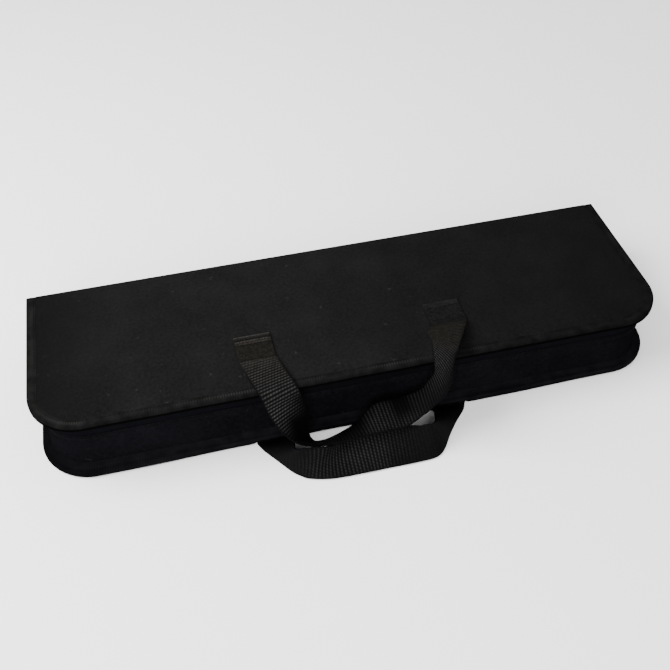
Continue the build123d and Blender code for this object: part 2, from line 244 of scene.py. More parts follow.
def ripple(x, y):
    """Low unevenness of laid cloth, from -1 to 1: a few slanting waves of unlike lengths added up."""
    return (
        np.sin(61.0 * x + 23.0 * y + 0.4)
        + np.sin(-37.0 * x + 71.0 * y + 1.9)
        + np.sin(113.0 * x + 47.0 * y + 4.2)
        + np.sin(-91.0 * x + 139.0 * y + 2.7)
    ) / 4


def left_end_shade_mask(start):
    """Mask of painted shade at the left end of the case: 1 within 8 mm of it, falling evenly to 0 at 8 cm from
    it.
    """
    return 1 - start.place("X").between(-0.252, -0.180)


def pack_cloth(name, dark, left, right, gloss, end=0.0, patchy=1.0):
    """Black pack cloth: a plain weave of thick yarns, shaded by soft clouds and a coarse grain, with a few
    specks of lint that catch the light. Its colour goes from the left tint to the right one along the case as
    painted light that falls off away from the lamp on the left, mixed with random patches of tone as strong as
    patchy says.
    Painted shade darkens the cloth by the share end at the left end."""
    finish, shader, start = material(name, Specular_IOR_Level=gloss)
    along, across = start.weave()
    yarn_pitch = 0.0011
    yarns = along.wave(yarn_pitch) * across.wave(yarn_pitch)
    clouds = start.mottle(26.0, 4.0)
    grain = start.mottle(420.0, 3.0)
    lint = start.mottle(150.0, 2.0).between(0.70, 0.78)
    shade = clouds * 0.5 + grain * 0.6 + yarns * 0.12 + lint * 0.8
    patches = (start.mottle(34.0, 3.0) - 0.5) * patchy + 0.5
    # Painted light: the tint falls off from left to right, away from the lamp, over random patches of tone
    patches_and_painted_falloff = (patches + start.place("X") * 1.4).between(0.47, 0.84).colour(left, right)
    # Painted shade at the left end of the case
    shade = shade.between(0.2, 1.1) * (1 - end * left_end_shade_mask(start))
    shade.colour(dark, patches_and_painted_falloff).into(shader, "Base Color")
    (0.74 + clouds * 0.12).into(shader, "Roughness")
    (yarns * 0.6 + grain).bump(shader, 0.00022)
    return finish


# Where the handles' webbing lies: sewn down to both sides of the middle, from its rear edge to a last row of
# stitches, and on under the base in two legs that lean as they run to the front edge
handle_x, webbing_half = 0.080, 0.015
sewn_rear, stitch_row, leg_front = -0.016, -0.042, -0.080


def leg_middle(side, y):
    """Middle line of a leg: straight as far as the last row of stitches, then leaning inwards to the front."""
    lean = 0.004 if side < 0 else 0.010
    return side * (handle_x - lean * np.clip((stitch_row - y) / (stitch_row - leg_front), 0.0, 1.2))


def under_legs(x, y):
    """1 over the two legs and 0 away from them, with a smooth step of 3 mm round their outline."""
    near, far = 0.0006, 0.0034
    inside = np.zeros(np.broadcast(x, y).shape)
    for side in (-1, 1):
        beside = 1 - smooth(np.abs(x - leg_middle(side, y)), webbing_half + near, webbing_half + far)
        behind = 1 - smooth(y, sewn_rear + near, sewn_rear + far)
        inside = np.maximum(inside, beside * behind)
    return inside


cloth_edge = 0.0078
cloth_thickness = 0.0007
# Painted light: the lid's left tint is twice as light as its right one, for the lamp on the left, and end adds
# painted shade at the left end
lid_tints = (0.0010, 0.0010, 0.0010), (0.0112, 0.0112, 0.0112), (0.0056, 0.0056, 0.0055)
lid_cloth = pack_cloth("lid_cloth", *lid_tints, gloss=0.03, end=0.62, patchy=0.3)
x, y = panel_plan(cloth_edge, panel_rear, step=0.0025)
edge_room = np.minimum(corner_radius - cloth_edge - np.hypot(
    np.clip(np.abs(x) - corner_x, 0.0, None), np.clip(corner_y - y, 0.0, None)
), panel_rear - y + 0.004)
sewn_middle, sewn_reach = -0.028, 0.013
beside_ends = np.maximum(np.abs(np.abs(x) - handle_x) - webbing_half, np.abs(y - sewn_middle) - sewn_reach)
edge_dip, edge_rise, crown_height, unevenness = 0.0004, 0.00035, 0.0007, 0.00016
crown = crown_height * smooth(edge_room, 0.0, 0.022) * smooth(beside_ends, 0.0, 0.025)
top = case_top - edge_dip + edge_rise * smooth(edge_room, 0.0, 0.004) + crown
top = top + unevenness * ripple(x, y) * smooth(beside_ends, 0.0, 0.012) * smooth(edge_room, 0.0, 0.01)
sections, flat = layered(x, y, top, top - cloth_thickness)
lid_cover = skin("lid_cover_cloth", sections, flat, lid_cloth)
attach(lid_cover, "lid")
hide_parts("lid_cover", "lid_padding")

# Painted light: the base cloth's left tint is a little lighter than its right one
base_tints = (0.0012, 0.0012, 0.0014), (0.0080, 0.0080, 0.0086), (0.0074, 0.0074, 0.0074)
base_cloth = pack_cloth("base_cloth", *base_tints, gloss=0.03)
off_floor, leg_dent = 0.0003, 0.00155
under = off_floor + leg_dent * under_legs(x, y)
sections, flat = layered(x, y, under, under + cloth_thickness)
base_cover = skin("base_cover_cloth", sections, flat, base_cloth)
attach(base_cover, "base")
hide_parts("base_cover", "base_padding")


# --------------------------------------------------
# Linings of the lid and the base: smooth thin cloth on the inner side of each board.
# They are sewn in under the binding and lie flat on the board.

lining_cloth, shader, start = material("lining_cloth", Specular_IOR_Level=0.12, Sheen_Weight=0.02)
along, across = start.weave()
twill = (along + across).wave(0.0009)
folds = start.mottle(30.0, 3.0)
(folds * 0.8 + twill * 0.1).between(0.2, 0.7).colour(
    (0.010, 0.010, 0.011), (0.017, 0.017, 0.019)
).into(shader, "Base Color")
(0.52 + folds * 0.14).into(shader, "Roughness")
twill.bump(shader, 0.00008)

lining_thickness, lining_rear = 0.0006, 0.0752
x, y = panel_plan(cloth_edge, lining_rear, step=0.005)
for name, level, inward in (("base", 0.0058, 1.0), ("lid", 0.0532, -1.0)):
    face = level + inward * 0.00012 * ripple(x + 0.3, y)
    sections, flat = layered(x, y, face, face - inward * lining_thickness)
    lining = skin(name + "_lining_cloth", sections, flat, lining_cloth)
    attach(lining, name)
    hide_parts(name + "_lining")
    name + "_board"


# --------------------------------------------------
# Bindings: ribbed tape folded round the raw edges of the lid and of the base and sewn through.
# It grips cover, foam, board and lining from both sides, and its folded edge is the rim of each panel.

binding_width = 0.008
seam_inset = 0.0064
panel_thickness = 0.006


def edge_path(rear, step):
    """Outline of the case seen from above: down the left side, round a quarter circle, along the front, round
    another and up the right side. The turn grows by the arc length over the radius in each corner. Returns the
    distance run, the points and the outward directions."""
    side = rear - corner_y
    arc = corner_radius * pi / 2
    total = 2 * (side + arc + corner_x)
    run = np.linspace(0.0, total, ceil(total / step) + 1)
    second = side + arc + 2 * corner_x
    turn = np.clip((run - side) / corner_radius, 0.0, pi / 2)
    turn = turn + np.clip((run - second) / corner_radius, 0.0, pi / 2)
    outward = np.stack([-np.cos(turn), -np.sin(turn)], axis=-1)
    x = -corner_x + np.clip(run - side - arc, 0.0, 2 * corner_x)
    y = corner_y + np.clip(side - run, 0.0, side) + np.clip(run - second - arc, 0.0, side)
    return run, np.stack([x, y], axis=-1) + corner_radius * outward, outward


def girth(u, v):
    """Distance run round a closed profile, from 0 at its first point to the whole way round."""
    steps = np.hypot(np.diff(u, append=u[..., :1]), np.diff(v, append=v[..., :1]))
    return np.concatenate([np.zeros_like(steps[..., :1]), np.cumsum(steps, axis=-1)], axis=-1)


def carried(path, inset, height):
    """Profile carried round the case: each point stands inset from the outline, square to it, at its height.
    The weave map runs with the outline one way and round the profile the other."""
    run, points, outward = path
    inset, height = np.broadcast_arrays(inset, height)
    inset = np.broadcast_to(inset, (len(run), inset.shape[-1]))
    height = np.broadcast_to(height, inset.shape)
    plan = points[:, None] - inset[..., None] * outward[:, None]
    sections = np.concatenate([plan, height[..., None]], axis=-1)
    return sections, np.stack(np.broadcast_arrays(run[:, None], girth(inset, height)), axis=-1)


def ribbed_tape(name, pitch, ground, pale, fold=None, line=0.0, end=0.0, inset=0.0):
    """Ribbed tape: fine ribs square to its length, each a row of yarn ends, on a darker ground. fold is how far
    across it the tape turns over an edge. Beside the fold, set back from it by inset, the ribs are pale in
    stretches
    of which there are more to the left: partly rubbed wear and partly a painted highlight on the rounded edge.
    A line of painted shade, as dark as line says, runs past the fold on the rim. Painted shade also darkens the
    tape to the right, away from the lamp, and by the share end at the left end."""
    finish, shader, start = material(name, Specular_IOR_Level=0.0)
    along, across = start.weave()
    ribs = along.wave(pitch) * 0.5 + 0.5
    ends = across.wave(0.0008) * 0.5 + 0.5
    wear = start.mottle(120.0, 3.0)
    height = ribs * 0.75 + ribs * ends * 0.25
    wear_and_painted_light = height * 0.5 + wear * 0.4
    if fold:
        aside = start.place("X")
        crest = across + inset
        # Painted highlight, partly wear: pale ribs where the edge rounds over, in stretches that are more to
        # the left
        near = crest.between(fold - 0.0042, fold - 0.0026) * (1 - crest.between(fold - 0.0012, fold + 0.0002))
        glint_and_wear_stretches = (start.mottle(17.0, 2.0) + 0.06 - 0.10 * aside.between(-0.10, -0.03)).between(0.46, 0.66)
        wear_and_painted_light = wear * 0.62 + height * (0.03 + (0.20 + 0.37 * line) * near * glint_and_wear_stretches)
        # Painted shade: a dark line at the fold and on the rim past it, for the shadow under the panel's edge
        fold_shade = across.between(fold - 0.0012, fold + 0.0002)
        past = across.between(fold + 0.0017, fold + 0.0028)
        rim_shade_easing = across.between(fold + 0.0040, fold + 0.0052)
        wear_and_painted_light = wear_and_painted_light * (1 - 0.31 * line * fold_shade) * (1 - line * past * (1 - 0.35 * rim_shade_easing))
        # Painted shade: darker to the right, away from the lamp, and at the left end
        wear_and_painted_light = wear_and_painted_light * (1 - 0.30 * aside.between(-0.02, 0.24)) * (1 - end * left_end_shade_mask(start))
        height = height * (0.2 + 0.8 * glint_and_wear_stretches)
    wear_and_painted_light.between(0.0, 1.0).colour(ground, pale).into(shader, "Base Color")
    (0.8 - ribs * 0.16).into(shader, "Roughness")
    height.bump(shader, 0.00012)
    return finish


tape_pitch = 0.0021
tape_tints = (0.0008, 0.0008, 0.0008), (0.0148, 0.0147, 0.0144)
# Painted shade: the lid tape's rim is darkened nearly to black past the fold, for the shadow under the lid's
# edge
lid_tape = ribbed_tape("lid_tape", tape_pitch, *tape_tints, fold=0.0073, line=0.97, inset=0.0019)
tape_tints = (0.0012, 0.0012, 0.0014), (0.0120, 0.0117, 0.0138)
# Painted shade: a milder dark line on the base tape's rim, and darker at its left end
base_tape = ribbed_tape("base_tape", tape_pitch, *tape_tints, fold=0.0078, line=0.35, end=0.80)


def folded_profile(round_edge):
    """Half of a folded tape's section as inset and depth from the outer face: along the flange from its sewn
    edge, round the edge's quarter circle and down to the middle of the rim. The flange is pressed in at the
    seam."""
    seam_dip, seam_width, edge_dip = 0.00022, 0.0007, 0.0003
    flange = np.linspace(binding_width, round_edge, 9)
    dip = seam_dip * np.exp(-(((flange - seam_inset) / seam_width) ** 2))
    dip = dip + edge_dip * smooth(flange, 0.0074, binding_width)
    turn = np.linspace(0.0, pi / 2, 8)[1:]
    inset = np.concatenate([flange, round_edge * (1 - np.sin(turn)), [0.0]])
    depth = np.concatenate([dip, round_edge * (1 - np.cos(turn)), [panel_thickness / 2]])
    return inset, depth


path = edge_path(panel_rear, step=0.0025)
outer_inset, outer_depth = folded_profile(round_edge=0.0017)
inner_inset = np.array([binding_width, 0.0045, 0.0017, 0.0009, 0.0009])
inner_depth = np.array([0.0007, 0.0009, 0.0010, 0.0019, panel_thickness / 2])
outer_inset = np.concatenate([outer_inset, outer_inset[-2::-1]])
inner_inset = np.concatenate([inner_inset, inner_inset[-2::-1]])
profile_inset = np.concatenate([outer_inset, inner_inset])
run = path[0]
hand_sewn = 0.00005 * np.sin(run * 310.0) + 0.00012 * np.sin(run * 97.0 + 1.0)
flange_share = smooth(profile_inset, 0.004, binding_width)
profile_inset = profile_inset + hand_sewn[:, None] * flange_share
rim_share = 1 - smooth(profile_inset[0], 0.0, 0.006)

# How far the base's rim is trodden out, and how far its upper flange curls up at the sewn edge
curl_height = 0.0026
trodden = 0.0010 * smooth(run, 0.110, 0.135) + 0.0017 * smooth(run, 0.130, 0.180)
trodden = trodden - 0.0014 * smooth(run, 0.215, 0.290) - 0.0013 * smooth(run, 0.520, 0.600)
for name, level, tape in (("lid", case_top - panel_thickness, lid_tape), ("base", 0.0, base_tape)):
    top_line = level + panel_thickness - outer_depth
    bottom_line = level + outer_depth[-2::-1]
    inner_top = level + panel_thickness - inner_depth
    inner_bottom = level + inner_depth[-2::-1]
    height = np.concatenate([top_line, bottom_line, inner_bottom[::-1], inner_top[::-1]])
    height = np.broadcast_to(height, profile_inset.shape)
    if name == "base":
        profile_inset = profile_inset - trodden[:, None] * rim_share
        plan = path[1][:, None] - profile_inset[..., None] * path[2][:, None]
        low = 1 - smooth(height, 0.0012, 0.0032)
        from_ends = np.minimum(run, run[-1] - run)[:, None]
        curl = curl_height * smooth(profile_inset, 0.0030, 0.0090) * smooth(from_ends, 0.004, 0.014)
        height = height + curl * (height > 0.003)
        height = height + low * (0.0002 + 0.0016 * under_legs(plan[..., 0], plan[..., 1]))
    sections, flat = carried(path, profile_inset, height)
    # At both ends the tape is folded shut, so its fold is filled there and stands out a little to the rear
    turned = np.array([[0.0, 0.0007, 0.0]])
    filled = np.where(np.arange(profile_inset.shape[1]) < len(outer_inset), profile_inset[0], binding_width)
    ends = []
    for row in (0, -1):
        closed = carried([part[row:][:1] for part in path], filled[None], height[row:][:1])[0]
        ends.append([closed + turned, closed])
    sections = np.concatenate([*ends[0], sections, *ends[1][::-1]])
    flat = np.concatenate([flat[:1], flat[:1], flat, flat[-1:], flat[-1:]])
    binding = skin(name + "_binding_tape", sections, flat, tape)
    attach(binding, name)
    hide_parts(name + "_binding")
    name + "_board"


# --------------------------------------------------
# Side wall: one strip of the same cloth round three sides, hemmed along the top over the lower zip tape.
# Its lower edge is sewn to the base inside the binding, and a thin lining closes its inner side.

# Painted light: the wall's left tint is lighter than its right one, and end adds painted shade at its left end
wall_tints = (0.0013, 0.0013, 0.0016), (0.0074, 0.0071, 0.0091), (0.0053, 0.0051, 0.0061)
wall_cloth = pack_cloth("wall_cloth", *wall_tints, gloss=0.0, end=0.30)
wall_low, wall_high, wall_rear = 0.0060, 0.0380, 0.0750
path = edge_path(wall_rear, step=0.003)
rise = np.linspace(0.0, 1.0, 25)
outer_height = wall_low + (wall_high - wall_low) * rise
hem_step, hem_turn, flare_out, slack_out = 0.0004, 0.0011, 0.0014, 0.0006
hem = hem_step * smooth(outer_height, 0.0302, 0.0312) - hem_turn * smooth(outer_height, 0.0348, wall_high) ** 2
free = np.sin(pi * np.clip((outer_height - wall_low) / 0.0245, 0.0, 1.0))
run = path[0][:, None]
slack = ripple(0.9 * run, 2.2 * outer_height) + 0.5 * ripple(2.3 * run + 1, 4 * outer_height)
flare = flare_out * (1 - smooth(outer_height, wall_low, 0.0240))
wall_inset, deepest = 0.0085, 0.0092
outer_inset = np.minimum(wall_inset - hem - flare - slack_out * free * slack, deepest - hem)
inner_inset = outer_inset[:, ::-1] + 0.0005
inset = np.concatenate([outer_inset, inner_inset], axis=1)
height = np.concatenate([outer_height, outer_height[::-1]])
sections, flat = carried(path, inset, height)
wall = skin("side_wall_cloth", sections, flat, wall_cloth)
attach(wall, "base")
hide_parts("side_wall")

inner_height = np.linspace(wall_low, 0.0340, 6)
inset = np.repeat([0.0120, 0.0114], len(inner_height))
sections, flat = carried(path, inset, np.concatenate([inner_height, inner_height[::-1]]))
wall_lining = skin("wall_lining_cloth", sections, flat, lining_cloth)
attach(wall_lining, "base")
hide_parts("wall_lining")


# --------------------------------------------------
# Spine: the back wall, a board covered outside and lined inside, with its two ends bound like the panels.
# A strip of the same cloth runs on from its top edge to the lid, and that strip is the case's hinge.

spine_half, spine_face, spine_high = 0.2518, 0.0785, 0.0358
hinge_low, hinge_high = 0.0360, 0.0590
inside_low, inside_high = 0.0062, 0.0459


def upright(x, z, outside, inside):
    """Sections of a sheet that stands over the plan x, z: up along its outer face and down its inner face."""
    sections, flat = layered(x, z, outside, inside)
    return sections[..., [0, 2, 1]], flat


across = np.linspace(-spine_half, spine_half, 201)
x, z = np.meshgrid(across, np.linspace(0.0004, spine_high, 15), indexing="ij")
fall = 0.00025 + 0.00012 * ripple(x, 2 * z)
fall = fall + 0.0004 * smooth(np.abs(x), spine_half - 0.006, spine_half)
sections, flat = upright(x, z, spine_face - fall, spine_face - fall - 0.0005)
spine_cover = skin("spine_cover_cloth", sections, flat, base_cloth)
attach(spine_cover, "base")
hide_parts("spine_cover")

x, z = np.meshgrid(across, np.linspace(inside_low, inside_high, 9), indexing="ij")
face = 0.0751 + 0.0001 * ripple(x, z)
sections, flat = upright(x, z, face, face + lining_thickness)
spine_lining = skin("spine_lining_cloth", sections, flat, lining_cloth)
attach(spine_lining, "base")
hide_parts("spine_lining")

x, z = np.meshgrid(across, np.linspace(hinge_low, hinge_high, 31), indexing="ij")
pucker = 0.00010 * np.sin(x * 190.0) * smooth(z, 0.046, 0.049) * (1 - smooth(z, 0.051, 0.054))
outside = spine_face - 0.0001 + pucker
sections, flat = upright(x, z, outside, outside - cloth_thickness)
hinge = skin("hinge_cloth", sections, flat, base_cloth)
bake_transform(hinge)
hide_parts("hinge_strip")

upright_run = np.linspace(inside_low, inside_high, 14)
end_x, end_y, end_radius = 0.25825, 0.07675, 0.00175
turn = np.linspace(0.0, pi, 15)
outer_x = np.concatenate([[0.2521, 0.2545], end_x + end_radius * np.sin(turn), [0.2545, 0.2521]])
outer_y = np.concatenate([[0.0783, 0.0785], end_y + end_radius * np.cos(turn), [0.0750, 0.0752]])
loop_x = np.concatenate([outer_x, [0.2521, 0.2582, 0.2591, 0.2591, 0.2582, 0.2521]])
loop_y = np.concatenate([outer_y, [0.0758, 0.0758, 0.0760, 0.0775, 0.0777, 0.0777]])
flat = np.stack(np.broadcast_arrays(upright_run[:, None], girth(loop_x, loop_y)), axis=-1)
for side, name in ((-1, "left"), (1, "right")):
    sections = np.stack(np.broadcast_arrays(side * loop_x, loop_y, upright_run[:, None]), axis=-1)
    spine_end = skin("spine_binding_" + name, sections, flat, base_tape)
    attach(spine_end, "base")
    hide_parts("spine_binding")


# --------------------------------------------------
# Zip: two woven tapes, two rows of moulded teeth with end stops, and two metal sliders with pulls.
# The lower tape is sewn behind the wall's hem and the upper one hangs under the lid's rim.

zip_tape = ribbed_tape("zip_tape", 0.0009, (0.0014, 0.0014, 0.0018), (0.0042, 0.0042, 0.0054))

# The tapes run inside the case's outline, so they are shorter than it in the two corners
tape_inset, saved_in_corners = 0.0094, 0.028
for name, body, low, high, rear in (
    ("lower", "base", 0.0340, 0.0445, wall_rear),
    ("upper", "lid", 0.0495, 0.0530, 0.0610),
):
    path = edge_path(rear, step=0.003)
    rise = np.linspace(low, high, 6)
    outer = np.repeat(tape_inset + 0.00015 + 0.00012 * np.sin(path[0] * 71.0)[:, None], len(rise), axis=1)
    inset = np.concatenate([outer, outer + 0.0005], axis=1)
    sections, flat = carried(path, inset, np.concatenate([rise, rise[::-1]]))
    tape = skin("zip_tape_" + name + "_cloth", sections, flat, zip_tape)
    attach(tape, body)
    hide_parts("zip_tape_" + name)
    length = path[0][-1] - saved_in_corners
    (high - low) * length

tooth_plastic, shader, start = material("tooth_plastic", Specular_IOR_Level=0.10)
rub = start.mottle(500.0, 2.0)
rub.colour((0.003, 0.003, 0.0034), (0.009, 0.009, 0.0096)).into(shader, "Base Color")
(0.45 + rub * 0.2).into(shader, "Roughness")
for row in ("lower", "upper"):
    dress("zip_teeth_" + row, tooth_plastic)

zip_metal, shader, start = material("zip_metal", Metallic=1.0)
brushed = start.mottle(700.0, 3.0)
brushed.colour((0.055, 0.055, 0.058), (0.14, 0.14, 0.144)).into(shader, "Base Color")
(0.28 + brushed * 0.24).into(shader, "Roughness")
brushed.bump(shader, 0.00004)
for fitting in ("zip_stops_lower", "zip_stops_upper", "zip_slider_front", "zip_slider_rear",
                "zip_pull_front", "zip_pull_rear"):
    dress(fitting, zip_metal)


# --------------------------------------------------
# Handles: two lengths of heavy ribbed webbing, one on the lid and one under the base.
# Each end is turned under and box-stitched to its panel, and the loop between them lies in a loose twist.

webbing_thickness = 0.0016
rib_pitch, yarn_width = 0.0028, 0.0026
sewn_front, case_front = -0.0395, -0.0785

# Where the points of a section stand across the webbing, from -1 at its outer edge to 1 at its inner edge
webbing_share = np.sin(np.linspace(-pi / 2, pi / 2, 15))

# Each row of a loop: x, distance out from the front and height of its outer edge, then of its inner edge, in mm
lid_loop = np.array([
    (-91, -16.5, 61.36, -60, -20.5, 61.36), (-85, 5, 60.77, -54, 2, 60.77),
    (-81, 11, 47.79, -51, 5, 47.79), (-76, 17.5, 37.76, -50, 6.5, 30.98),
    (-70, 24, 30.98, -49.5, 8.5, 13.57), (-62.5, 29, 26.4, -46, 13, 5.2),
    (-53, 32, 23.6, -37, 13.5, 4.2), (-39, 33, 22.4, -26.5, 10.5, 4.6),
    (-22, 33, 22.6, -13.5, 7, 7.8), (-7, 33, 23.2, -4, 5, 14.4),
    (7, 33, 24.19, 8, 4, 24.49), (24.5, 33, 25.37, 24.5, 4, 25.37),
    (38, 31.5, 33.04, 37, 4, 27.14), (48, 31, 42.48, 45.5, 4, 31.86),
    (56, 30.5, 52.51, 51, 4, 40.71), (59.5, 30, 64.31, 54.9, 4, 48.97),
    (61, 27.5, 74.34, 55.5, 4, 59), (66, 17.5, 76.7, 57.5, -4, 61.66),
    (74.5, 2, 73.16, 60.5, -19, 61.07), (91, -27, 66.08, 63.5, -31, 61.95),
])
base_loop = np.array([
    (-91, 1.5, 0.8, -61, 1.5, 0.8), (-86, 11.5, 0.8, -64, 19.5, 17),
    (-78, 22.5, 0.8, -64.9, 33.3, 25.5), (-69, 35.5, 0.8, -58, 36.8, 28.5),
    (-63.5, 41, 0.8, -49.5, 36.3, 25.8), (-57, 45.5, 0.8, -40.5, 35, 19),
    (-40, 50, 0.8, -26.5, 27, 14), (-15, 51, 0.8, -10, 27.5, 17.1),
    (10, 51, 0.8, 11, 28, 18.1), (32, 51, 0.8, 28, 29.5, 19.8),
    (46, 49.5, 0.8, 35, 33, 23.3), (54, 43, 0.8, 41, 36, 26.8),
    (62, 31, 0.8, 46.6, 35, 26.2), (72, 18.5, 0.8, 50.5, 25.5, 20.5),
    (81, 9, 0.8, 53.5, 12.6, 12.3), (85, 1.5, 0.8, 55, 1.5, 0.8),
])

# How far the ribs of each handle lean from square to its edges, at distances in mm along it
lid_lean = np.array([
    (0, 0.0), (24, 0.07), (60, 0.17), (90, 0.27), (108, 0.40), (126, 0.50), (144, 0.41), (162, 0.22),
    (180, 0.05), (204, 0.0), (222, -0.23), (240, -0.46), (274, -0.55), (312, 0.0), (343, 0.0),
])
base_lean = np.array([
    (0, 0.0), (48, 0.11), (72, 0.33), (88, 0.48), (108, 0.36), (132, 0.41), (152, 0.29), (168, 0.13),
    (184, 0.0), (208, -0.18), (224, -0.33), (240, -0.49), (256, -0.43), (272, -0.29), (296, -0.22),
    (320, 0.0), (332, 0.0),
])


def loop_edges(stations, level):
    """Both edges of a handle from sewn end to sewn end, as rows of outer point and inner point. Each span
    between stations is a cubic whose end slopes are half the step between the neighbours, and straight runs
    join the loop to the sewn ends. The whole is sampled at even steps, and its kinks are eased over 3 mm."""
    places = stations.reshape(-1, 2, 3) * 0.001
    places = np.stack([places[..., 0], case_front - places[..., 1], places[..., 2]], axis=-1)
    before = np.concatenate([places[:1], places[:-2]])
    after = np.concatenate([places[2:], places[-1:]])
    share = np.linspace(0.0, 1.0, 40)[:-1].reshape(-1, 1, 1, 1)
    p, q = places[:-1], places[1:]
    slope_p, slope_q = (q - before) / 2, (after - p) / 2
    spans = (
        p * (2 * share**3 - 3 * share**2 + 1)
        + slope_p * (share**3 - 2 * share**2 + share)
        + q * (3 * share**2 - 2 * share**3)
        + slope_q * (share**3 - share**2)
    )
    loop = np.concatenate([spans.transpose(1, 0, 2, 3).reshape(-1, 2, 3), places[-1:]])
    ends = []
    for side in (-1, 1):
        y = np.array([sewn_rear, sewn_front, stitch_row])[:, None]
        x = side * np.array([handle_x + webbing_half, handle_x - webbing_half])
        ends.append(np.stack(np.broadcast_arrays(x, y, np.full((3, 2), level)), axis=-1))
    line = np.concatenate([ends[0], loop, ends[1][::-1]])
    steps = np.linalg.norm(np.diff(line.mean(axis=1), axis=0), axis=1)
    run = np.concatenate([[0.0], np.cumsum(steps)])
    even = np.linspace(0.0, run[-1], ceil(run[-1] / 0.0004) + 1)
    line = np.stack([np.interp(even, run, line[:, e, k]) for e in (0, 1) for k in (0, 1, 2)], axis=-1)
    window = np.hanning(9)[1:-1]
    window = window / window.sum()
    padded = np.concatenate([2 * line[:1] - line[3:0:-1], line, 2 * line[-1:] - line[-2:-5:-1]])
    line = np.stack([np.convolve(padded[:, k], window, "valid") for k in range(6)], axis=-1)
    return even, line.reshape(-1, 2, 3)


def webbing_sections(run, edges, leans, lift):
    """Flat sections of webbing: its middle stands half a width in from the outer edge, and its thickness lies
    square to the width and to the run. Its ribs lean as the table of leans says, eased over 24 mm. The
    thickness swells at each rib, thins at the two selvedges and is raised by lift at the turned ends."""
    width = edges[:, 1] - edges[:, 0]
    width = width / np.linalg.norm(width, axis=1, keepdims=True)
    middle = edges[:, 0] + webbing_half * width
    along = np.gradient(middle, axis=0)
    along = along / np.linalg.norm(along, axis=1, keepdims=True)
    through = np.cross(width, along)
    through = through / np.linalg.norm(through, axis=1, keepdims=True)
    share = webbing_share
    sideways = webbing_half * (1 + share)
    window = np.hanning(63)[1:-1]
    lean = np.pad(np.interp(run * 1000, *leans.T), len(window) // 2, "edge")
    lean = np.convolve(lean, window / window.sum(), "valid")
    woven = run[:, None] + webbing_half * share * lean[:, None]
    rib = 0.5 + 0.5 * np.cos(2 * pi * woven / rib_pitch)
    end = np.minimum(run, run[-1] - run)
    turned = np.exp(-(((end - 0.0012) / 0.0011) ** 2))
    flattened = 1 - 0.45 * (1 - smooth(end, 0.022, 0.030))
    half = webbing_thickness / 2 - 0.00008 * (1 - rib) * flattened[:, None]
    half = half * (1 - 0.30 * smooth(np.abs(share), 0.90, 1.0))
    upper = half + (lift * turned)[:, None] * (1 - smooth(np.abs(share), 0.97, 1.0))
    face = middle[:, None] + webbing_half * share[:, None] * width[:, None]
    top = face - upper[..., None] * through[:, None]
    bottom = (face + half[..., None] * through[:, None])[:, ::-1]
    round_it = np.concatenate([sideways, 2 * webbing_half + 0.001 + sideways, [4 * webbing_half + 0.002]])
    woven = np.concatenate([woven, woven[:, ::-1], woven[:, :1]], axis=1)
    flat = np.stack(np.broadcast_arrays(woven, round_it), axis=-1)
    return np.concatenate([top, bottom], axis=1), flat


handle_webbing, shader, start = material("handle_webbing", Specular_IOR_Level=0.02)
along, across = start.weave()
tone_and_painted_shade, wear_and_painted_light, faded = (
    start.node("ShaderNodeAttribute", {"attribute_name": name}, None, "Fac")
    for name in ("tone_and_painted_shade", "wear_and_painted_light", "faded")
)
ribs = (along + rib_pitch / 4).wave(rib_pitch) * 0.5 + 0.5
yarns = (across * (1 / yarn_width) + along * (0.5 / rib_pitch)).wave(1.0) * 0.5 + 0.5
wear = start.mottle(300.0, 3.0)
specks = start.mottle(900.0, 2.0).between(0.48, 0.70)
height = ribs ** 2.0 * (0.30 + yarns * 0.70)
# Painted light: the tone attribute darkens the strap where it turns from the lamp, and the pale rib tops are
# partly a painted highlight
shade = tone_and_painted_shade * (0.004 + wear * 0.06 + specks * 0.04) + wear_and_painted_light * height * (0.20 + wear * 0.85)
shade = shade.between(0.0, 1.0)
black = shade.colour((0.0006, 0.0006, 0.0008), (0.0420, 0.0415, 0.0400))
brown = shade.colour((0.0007, 0.0006, 0.0005), (0.0430, 0.0392, 0.0325))
faded.colour(black, brown).into(shader, "Base Color")
(0.78 - height * 0.2).into(shader, "Roughness")
(height * (0.06 + wear_and_painted_light * 0.94)).bump(shader, 0.00035)
